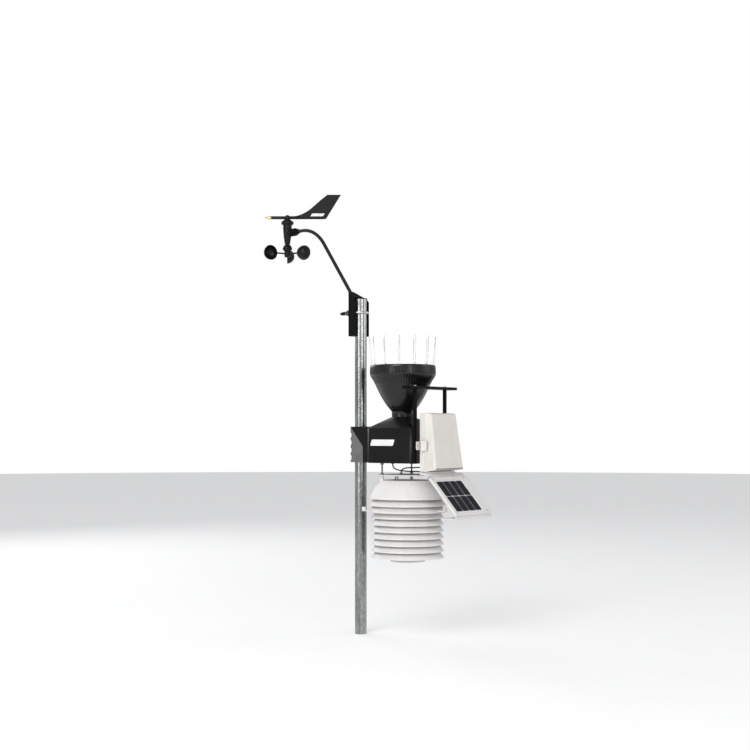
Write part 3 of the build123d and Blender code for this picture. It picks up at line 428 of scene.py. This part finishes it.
def brass():
    s = Shader("turned_brass")
    s.colour(s.ramp(s.noise(150, 3), [(0.3, (0.62, 0.4, 0.2)), (0.7, (0.83, 0.6, 0.36))]))
    s.set(Metallic=1.0)
    s.rough(s.blend(s.noise(300, 2), 0.2, 0.36))
    s.bump(s.noise(900, 2), 0.08)
    return s.material


def cable_rubber():
    s = Shader("cable_jacket")
    s.colour(s.ramp(s.noise(200, 3), [(0.3, grey(0.008)), (0.7, grey(0.018))]))
    s.rough(s.blend(s.noise(300, 3), 0.42, 0.6))
    s.bump(s.noise(1500, 2), 0.15)
    return s.material


def silicon():
    """Solar cell: blue-black crystalline silicon with an anti-glare surface."""
    s = Shader("solar_silicon")
    crystal = s.ramp(s.cells(160), [(0.2, (0.003, 0.0034, 0.006)), (0.8, (0.0055, 0.0068, 0.012))])
    cloud = s.ramp(s.noise(45, 2), [(0.3, grey(0.75)), (0.7, grey(1.0))])
    s.colour(s.multiply(1.0, crystal, cloud))
    s.rough(s.blend(s.noise(90, 3), 0.3, 0.42))
    s.set(Specular_IOR_Level=0.07)
    s.bump(s.noise(400, 2), 0.03)
    return s.material


def glass_capsule():
    """Greenish glass of the reed switches."""
    s = Shader("sensor_capsule")
    s.colour(s.ramp(s.noise(300, 2), [(0.3, (0.45, 0.62, 0.55)), (0.7, (0.6, 0.75, 0.68))]))
    s.rough(s.blend(s.noise(260, 3), 0.06, 0.14))
    s.bump(s.noise(500, 2), 0.05)
    s.set(Coat_Weight=0.5)
    return s.material


def solder_mask():
    s = Shader("solder_mask")
    s.colour(s.ramp(s.cells(420), [(0.2, (0.012, 0.09, 0.04)), (0.9, (0.03, 0.16, 0.075))]))
    s.rough(s.blend(s.noise(200, 3), 0.3, 0.5))
    s.bump(s.cells(420), 0.25)
    return s.material


def battery_skin():
    s = Shader("battery_sleeve")
    s.colour(s.ramp(s.noise(25, 3), [(0.3, (0.03, 0.07, 0.16)), (0.7, (0.05, 0.1, 0.22))]))
    s.rough(s.blend(s.noise(100, 3), 0.25, 0.4))
    s.bump(s.noise(350, 2), 0.08)
    return s.material


def mark_paint():
    s = Shader("mark_paint")
    s.colour(s.ramp(s.noise(40, 4), [(0.35, grey(0.72)), (0.65, grey(0.8))]))
    s.rough(s.blend(s.noise(200, 3), 0.4, 0.6))
    s.bump(s.noise(900, 2), 0.06)
    return s.material


def make_materials():
    """Materials by name: one for each slot of the record, and some for single pieces."""
    black = moulded("black_moulded", grey(0.0055), 0.34, 1100, 0.1, 0.7)
    black.set(Specular_IOR_Level=0.22)
    tube = moulded("black_painted_tube", grey(0.007), 0.26, 500, 0.05, 0.8)
    tube.set(Specular_IOR_Level=0.4)
    brown = moulded("brown_black_moulded", (0.012, 0.009, 0.007), 0.5, 900, 0.15, 0.75)
    brown.set(Specular_IOR_Level=0.3)
    ivory = moulded("ivory_moulded", (0.7, 0.675, 0.63), 0.42, 700, 0.08, 0.95)
    white = moulded("white_moulded", (0.72, 0.705, 0.695), 0.44, 700, 0.08, 0.94)
    white.set(Subsurface_Weight=0.06, Subsurface_Scale=0.002)
    deep = moulded("deep_black_moulded", grey(0.003), 0.38, 1100, 0.1, 0.7)
    deep.set(Specular_IOR_Level=0.09)
    cone = moulded("glossy_black_moulded", grey(0.006), 0.24, 1100, 0.07, 0.7)
    cone.set(Specular_IOR_Level=0.42)
    # Grey for the strip on the cover's lower front edge: painted shade, darker than the ivory cover.
    shade_strip_grey = moulded("grey_painted_shade_strip", (0.26, 0.27, 0.25), 0.55, 700, 0.08, 0.9)
    # Mid grey in place of white plastic for the fan housing: painted shade for its shaded underside.
    cap_shade = moulded("white_cap_painted_shade", (0.5, 0.49, 0.485), 0.5, 700, 0.08, 0.92)
    return {
        "galvanised": galvanised(),
        "zinc": bright_steel("zinc_plate", 0.55, 0.74, 0.34, 0.02),
        "steel": bright_steel("bright_steel", 0.5, 0.68, 0.32),
        "grey_metal": satin_metal_and_bracket_light(),
        "black_plastic": black.material,
        "black_tube": tube.material,
        "brown_plastic": brown.material,
        "ivory_plastic": ivory.material,
        "white_plastic": white.material,
        "solar_glass": silicon(),
        "brass": brass(),
        "sensor_glass": glass_capsule(),
        "board_green": solder_mask(),
        "battery_sleeve": battery_skin(),
        "cable_black": cable_rubber(),
        "painted_shade_cap": cap_shade.material,
        "deep_black": deep.material,
        "cone_black": cone.material,
        "painted_shade_grey": shade_strip_grey.material,
        "rod_steel": bright_steel("dark_rod_steel", 0.16, 0.26, 0.36),
        "wire_steel": bright_steel("spike_wire", 0.72, 0.86, 0.42),
        "mark_white": mark_paint(),
    }


SPECIAL = {
    "bird_spikes": "wire_steel",
    "shield_rod_nuts": "rod_steel",
    "ubolt_nuts": "rod_steel",
    # The fan housing gets the grey painted-shade cap material in place of its white plastic.
    "fan_housing": "painted_shade_cap",
    "anemometer_mount": "deep_black",
    "arm_collar": "deep_black",
    "sensor_shelf": "deep_black",
    "shelf_posts": "deep_black",
}


def dress_cad(materials):
    """Give every CAD node its slot's material, or the one named for it above."""
    slots = {s["node"]: s["material_slot"] for s in frame["record"]["subparts"]}
    for name, node in frame["nodes"].items():
        node.data.materials.clear()
        node.data.materials.append(materials[SPECIAL.get(name, slots[name])])
        weld = node.modifiers.new("weld", "WELD")
        weld.merge_threshold = MERGE_DISTANCE


# ---------------------------------------------------------------- cords

PANEL_LEAD = [
    (0.028, -0.088, 0.457),
    (0.028, -0.088, 0.450),
    (0.032, -0.093, 0.443),
    (0.041, -0.104, 0.439),
    (0.050, -0.1155, 0.4375),
    (0.0575, -0.129, 0.437),
    (0.0565, -0.147, 0.4375),
    (0.048, -0.171, 0.4375),
    (0.035, -0.199, 0.436),
    (0.020, -0.223, 0.435),
    (0.020, -0.248, 0.435),
]
FAN_LEAD = [
    (0.033, -0.113, 0.434),
    (0.033, -0.113, 0.4395),
    (0.0385, -0.116, 0.4445),
    (0.047, -0.1215, 0.4468),
    (0.0565, -0.1295, 0.4465),
    (0.0575, -0.146, 0.4475),
    (0.053, -0.169, 0.4492),
    (0.044, -0.194, 0.4492),
    (0.027, -0.221, 0.447),
    (0.027, -0.249, 0.447),
]
LEAD_R = 0.0017


def make_cord(name, node, points, material):
    """Smooth round cord with the route's points as its control points."""
    data = bpy.data.curves.new(name, "CURVE")
    data.dimensions = "3D"
    data.bevel_depth = LEAD_R
    data.bevel_resolution = 4
    data.resolution_u = 12
    spline = data.splines.new("NURBS")
    spline.points.add(len(points) - 1)
    for point, place in zip(spline.points, points):
        point.co = (*place, 1)
    spline.order_u = 3
    spline.use_endpoint_u = True
    data.materials.append(material)
    cord = bpy.data.objects.new(name, data)
    bpy.context.scene.collection.objects.link(cord)
    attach(cord, STATION)
    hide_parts(node)


# ---------------------------------------------------------------- collector cone

RAIN_Y = -0.145
FLUTES = 72
FLUTE_DEPTH = 0.0010
UPPER_TIER = (0.6905, 0.7095)
LOWER_TIER = (0.6670, 0.6880)
TIER_FADE = 0.0015
LEDGE_Z = 0.6600
LEDGE_OUT = 0.0009
LEDGE_HALF = 0.0016
SEAM_Z = 0.6035
SEAM_DEPTH = 0.0006
SEAM_HALF = 0.0012
RIM_LOW_Z = 0.692
RIM_R = 0.086
NECK_R = 0.0290
NECK_TOP_Z = 0.594
FLANK_SPREAD = 0.6
WALL_THICK = 0.0045
RELIEF_LOW_Z = 0.598


def cone_profile():
    """Closed (radius, height) outline of the collector cone's wall, in metres."""
    low = [(NECK_R, 0.5805), (NECK_R, 0.5870), (NECK_R, NECK_TOP_Z)]
    flank = spline_points(
        [(NECK_R, NECK_TOP_Z), (0.0310, 0.5970), (0.0425, 0.6110), (0.0584, 0.6370),
         (0.0748, 0.6710), (0.0815, 0.6820), (0.0860, 0.6920), (0.0860, 0.7080),
         (0.0853, 0.7132), (0.0843, 0.7150)], 12)
    rim = [(0.0838, 0.7155), (0.0833, 0.7154), (0.0831, 0.7148), (0.0835, 0.7120), (0.0836, 0.7090)]
    inside = spline_points(
        [(0.0836, 0.6930), (0.0792, 0.6830), (0.0724, 0.6722), (0.0560, 0.6382),
         (0.0403, 0.6124), (0.0264, 0.5950)], 6)
    spout = [(0.0046, 0.5884), (0.0046, 0.5690), (0.0064, 0.5690), (0.0064, 0.5860),
             (0.0266, 0.5890), (0.0266, 0.5805)]
    return low + flank[1:] + rim + inside + spout


def tier_strength(z, tier):
    """How deep the flutes are at a height: full inside the tier, nothing at its ends."""
    low, high = tier
    if z <= low or z >= high:
        return 0.0
    return min(1.0, (z - low) / TIER_FADE, (high - z) / TIER_FADE)


def cone_relief(angle, r, z):
    """Flutes, ledge and seam on the cone's outer wall."""
    edge = RIM_R if z > RIM_LOW_Z else NECK_R + (z - NECK_TOP_Z) * FLANK_SPREAD
    if r < edge - WALL_THICK or z < RELIEF_LOW_Z:
        return 0.0
    wave = max(0.0, cos(FLUTES * angle)) ** 0.5
    relief = -FLUTE_DEPTH * wave * tier_strength(z, UPPER_TIER)
    relief -= FLUTE_DEPTH * max(0.0, cos(FLUTES * angle + pi)) ** 0.5 * tier_strength(z, LOWER_TIER)
    relief += LEDGE_OUT * max(0.0, 1 - abs(z - LEDGE_Z) / LEDGE_HALF)
    relief -= SEAM_DEPTH * max(0.0, 1 - abs(z - SEAM_Z) / SEAM_HALF)
    return relief


def make_cone():
    """The fluted cone in place of the plain one."""
    verts, faces = lathe(cone_profile(), (0, RAIN_Y), FLUTES * 8, cone_relief)
    mesh_piece("collector_cone_fluted", verts, faces, MATERIALS["cone_black"], "collector_cone",
               "black_plastic", ["rain_funnel"])


# ---------------------------------------------------------------- collector base details

BASE_SIDE = -0.065
BASE_MARK = ((0.0880, 0.5060), (0.1640, 0.5060), (0.1700, 0.5220), (0.0940, 0.5220))
RIDGE_HIGH = 0.0022
RIDGE_END = 0.205
MARK_IN = -0.0002
MARK_OUT = 0.00025
RIDGE_IN = -0.0005
RIDGE_OUT = 0.0012
RIDGES = ((0.5480, 0.136), (0.5420, 0.146), (0.5360, 0.156))


def side_place(u, v, w):
    """Point on the base's left-hand wall: u along -Y, v up, w out from the wall."""
    return (BASE_SIDE - w, -u, v)


def make_base_details():
    """Plain mark and the moulded ridges on the base's left-hand wall."""
    mark = rounded(BASE_MARK, 0.003)
    mesh_piece("base_mark", *prism_mesh(mark, side_place, MARK_IN, MARK_OUT), MATERIALS["mark_white"],
               STATION, "white_plastic")
    ridges = []
    for height, start in RIDGES:
        top = height + RIDGE_HIGH
        corners = [(start, height), (RIDGE_END, height), (RIDGE_END, top), (start, top)]
        outline = rounded(corners, RIDGE_HIGH / 2, 5)
        ridges.append(prism_mesh(outline, side_place, RIDGE_IN, RIDGE_OUT))
    piece = mesh_piece("base_ridges", *joined(ridges), MATERIALS["black_plastic"], STATION,
                       "black_plastic")
    soft_edges(piece, 0.0004)


# ---------------------------------------------------------------- vane

ARM_HEADING = radians(82)
ARM_REACH = 0.320
HEAD = (ARM_REACH * cos(ARM_HEADING), ARM_REACH * sin(ARM_HEADING))
VANE_TURN = radians(-50)
VANE_Z = 1.159
FIN_HALF = 0.0011
STRIPE_HALF = 0.0002
STRIPE_LOW_Z = VANE_Z + 0.0040
STRIPE_TOP_Z = VANE_Z + 0.0120


def turned(x, y, turn):
    """A point on the ground plan turned about the origin."""
    return x * cos(turn) - y * sin(turn), x * sin(turn) + y * cos(turn)


def make_vane_marks():
    """Plain slanted stripe on each side of the tail fin."""
    stripe = rounded(
        [(0.0660, STRIPE_LOW_Z), (0.1020, STRIPE_LOW_Z), (0.1080, STRIPE_TOP_Z),
         (0.0720, STRIPE_TOP_Z)], 0.0015)
    sides = []
    for side in (-1, 1):
        def place(u, v, w, side=side):
            x, y = turned(u, side * (FIN_HALF + w), VANE_TURN)
            return (HEAD[0] + x, HEAD[1] + y, v)
        sides.append(prism_mesh(stripe, place, -STRIPE_HALF, STRIPE_HALF))
    mesh_piece("fin_stripes", *joined(sides), MATERIALS["mark_white"], "vane", "white_plastic")


# ---------------------------------------------------------------- solar panel

PANEL_HINGE = (-0.283, 0.4315)
PANEL_SLOPE = radians(47.5)
CELLS_X = -0.010
CELLS_WIDE = 0.112
CELLS_HIGH = 0.103
CELLS_MID = -0.0715
CELL_COLUMNS = 4
CELL_ROWS = 2
CELL_GAP = 0.0013
CELL_MARGIN = 0.0022
CELL_CUT = 0.0022
BACKING_LOW = 0.0004
BACKING_TOP = 0.0036
CELL_TOP = 0.0038
BAR_TOP = 0.00388
BAR_HALF = 0.0003
BAR_PLACES = (0.3, 0.7)


def panel_place(x, y, z):
    """Point of the flat panel drawing put on the tilted panel."""
    up, out = sin(PANEL_SLOPE), cos(PANEL_SLOPE)
    return (x, PANEL_HINGE[0] + y * out - z * up, PANEL_HINGE[1] + y * up + z * out)


def panel_box(low, high):
    """Box of the flat panel drawing put on the tilted panel."""
    verts, faces = box_mesh(low, high)
    return [panel_place(*v) for v in verts], faces


def make_cells():
    """Light backing sheet with two rows of dark cells and their bus bars."""
    left, right = CELLS_X - CELLS_WIDE / 2, CELLS_X + CELLS_WIDE / 2
    low, high = CELLS_MID - CELLS_HIGH / 2, CELLS_MID + CELLS_HIGH / 2
    backing = panel_box((left, low, BACKING_LOW), (right, high, BACKING_TOP))
    mesh_piece("cell_backing", *backing, MATERIALS["mark_white"], "panel", "white_plastic",
               ["solar_cells"])
    wide = (right - left - 2 * CELL_MARGIN) / CELL_COLUMNS
    tall = (high - low - 2 * CELL_MARGIN) / CELL_ROWS
    cells, bars = [], []
    for column in range(CELL_COLUMNS):
        for row in range(CELL_ROWS):
            x0 = left + CELL_MARGIN + wide * column + CELL_GAP / 2
            y0 = low + CELL_MARGIN + tall * row + CELL_GAP / 2
            x1, y1 = x0 + wide - CELL_GAP, y0 + tall - CELL_GAP
            cut = CELL_CUT
            outline = [(x0 + cut, y0), (x1 - cut, y0), (x1, y0 + cut), (x1, y1 - cut),
                       (x1 - cut, y1), (x0 + cut, y1), (x0, y1 - cut), (x0, y0 + cut)]
            cells.append(prism_mesh(outline, panel_place, BACKING_TOP, CELL_TOP))
            for part in BAR_PLACES:
                middle = x0 + (x1 - x0) * part
                bar_low = (middle - BAR_HALF, y0, CELL_TOP)
                bars.append(panel_box(bar_low, (middle + BAR_HALF, y1, BAR_TOP)))
    mesh_piece("silicon_cells", *joined(cells), MATERIALS["solar_glass"], "panel", "solar_glass",
               ["solar_cells"])
    mesh_piece("bus_bars", *joined(bars), MATERIALS["rod_steel"], "panel", "steel")


# ---------------------------------------------------------------- painted shade along the housing's lower front edge

SHADE_STRIP_HALF = 0.0555
SHADE_STRIP_OUTLINE = ((-0.2975, 0.4468), (-0.2985, 0.4468), (-0.2981, 0.4504), (-0.2971, 0.4504))


def make_cover_shade_strip():
    """Grey strip along the bottom edge of the cover's sloping face: painted shade for the shade under
    that edge.
    """
    outline = rounded(SHADE_STRIP_OUTLINE, 0.0004, 3)
    strip = prism_mesh(outline, lambda u, v, w: (w, u, v), -SHADE_STRIP_HALF, SHADE_STRIP_HALF)
    piece = mesh_piece("cover_painted_shade_strip", *strip, MATERIALS["painted_shade_grey"], "cover", "black_plastic")
    soft_edges(piece, 0.0003)


# ---------------------------------------------------------------- rods, ties, caps, clip

SHIELD_Y = -0.161
ROD_OUT = 0.071
ROD_TURNS = (30, 150, -90)
ROD_R = 0.0022
THREAD_PITCH = 0.001
THREAD_DEPTH = 0.0003
ROD_SHARP_ANGLE = 50


def make_rods():
    """Threaded hanging rods."""
    low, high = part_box("shield_rods")
    rods = []
    for turn in ROD_TURNS:
        centre = (ROD_OUT * cos(radians(turn)), SHIELD_Y + ROD_OUT * sin(radians(turn)))
        profile = [(0.0001, low[2]), (ROD_R - THREAD_DEPTH, low[2])]
        z = low[2] + THREAD_PITCH / 2
        while z + THREAD_PITCH / 2 < high[2]:
            profile += [(ROD_R, z), (ROD_R - THREAD_DEPTH, z + THREAD_PITCH / 2)]
            z += THREAD_PITCH
        profile += [(ROD_R - THREAD_DEPTH, high[2]), (0.0001, high[2])]
        rods.append(lathe(profile, centre, 16))
    mesh_piece("hanging_rods", *joined(rods), MATERIALS["rod_steel"], STATION, "zinc",
               ["shield_rods"], ROD_SHARP_ANGLE)


TIE_PLACES = ((0.0595, -0.1315, 0.4467), (0.0595, -0.1315, 0.4372))
TIE_TILT = radians(118)
TIE_LONG_R = 0.0052
TIE_SHORT_R = 0.0036
TIE_COUNT = 40
TIE_SECTION = ((0.0, -0.0012), (0.0009, -0.0012), (0.0009, 0.0012), (0.0, 0.0012))
TIE_HEAD = ((-0.0072, -0.0052, -0.0018), (-0.0036, -0.0022, 0.0018))
TIE_TAIL = ((-0.0055, -0.0045, 0.0), (-0.0098, -0.0090, 0.0014))
TIE_TAIL_RADII = (0.0009, 0.0005)
CLAMP_LEG_ASIDE = 0.019075
CLAMP_HEIGHT = 0.862
CAP_COUNT = 24
CAP_PROFILE = (
    (0.0363, 0.0033), (0.0363, 0.0052), (0.0500, 0.0050), (0.0575, 0.0040),
    (0.0606, 0.0022), (0.0606, 0.0001), (0.0600, 0.0001), (0.0598, 0.0033))


def make_ties():
    """Two cable ties that hold the leads against a hanging rod."""
    ties = []
    for x, y, z in TIE_PLACES:
        verts = []
        for grow, rise in TIE_SECTION:
            for i in range(TIE_COUNT):
                angle = 2 * pi * i / TIE_COUNT
                across = (TIE_LONG_R + grow) * cos(angle)
                u, v = turned(across, (TIE_SHORT_R + grow) * sin(angle), TIE_TILT)
                verts.append((x + u, y + v, z + rise))
        ties.append((verts, ring_faces(len(TIE_SECTION), TIE_COUNT)))
        middle = Vector((x, y, z))
        ties.append(box_mesh(*(middle + Vector(corner) for corner in TIE_HEAD)))
        ties.append(rod_mesh(*(middle + Vector(end) for end in TIE_TAIL), TIE_TAIL_RADII, 8))
    piece = mesh_piece("cable_ties", *joined(ties), MATERIALS["cable_black"], STATION, "cable_black")
    soft_edges(piece, 0.0002)


def make_thread_caps():
    """Tapered rubber caps on the two thread ends of the anemometer's clamp."""
    caps = []
    for side in (-CLAMP_LEG_ASIDE, CLAMP_LEG_ASIDE):
        verts = []
        for along, r in CAP_PROFILE:
            for i in range(CAP_COUNT):
                angle = 2 * pi * i / CAP_COUNT
                x, y = turned(along, side + r * cos(angle), ARM_HEADING)
                verts.append((x, y, CLAMP_HEIGHT + r * sin(angle)))
        caps.append((verts, ring_faces(len(CAP_PROFILE), CAP_COUNT)))
    mesh_piece("thread_caps", *joined(caps), MATERIALS["deep_black"], STATION, "black_plastic")


CLIP_SCREWS = ((-0.032, -0.1455), (-0.027, -0.1500))
CLIP_PROFILE = (
    (0.0001, 0.4160), (0.0028, 0.4160), (0.0028, 0.4182), (0.0013, 0.4186), (0.0013, 0.4262),
    (0.0026, 0.4266), (0.0026, 0.4280), (0.0018, 0.4287), (0.0001, 0.4288))
CLIP_WIRE_Z = 0.4230
CLIP_WIRE_R = 0.0009


def make_dome_clip():
    """Pair of small screws with a wire bridge on top of the dome."""
    parts = [lathe(CLIP_PROFILE, place, 20) for place in CLIP_SCREWS]
    start, end = [(*place, CLIP_WIRE_Z) for place in CLIP_SCREWS]
    parts.append(rod_mesh(start, end, CLIP_WIRE_R, 12))
    mesh_piece("dome_screws", *joined(parts), MATERIALS["rod_steel"], STATION, "steel")


# ---------------------------------------------------------------- build everything

MATERIALS = make_materials()
make_camera()
make_studio()
make_cord("panel_lead_cord", "panel_lead", PANEL_LEAD, MATERIALS["cable_black"])
make_cord("fan_lead_cord", "fan_lead", FAN_LEAD, MATERIALS["cable_black"])
dress_cad(MATERIALS)
make_cone()
make_base_details()
make_vane_marks()
make_cells()
make_cover_shade_strip()
make_rods()
make_ties()
make_thread_caps()
make_dome_clip()
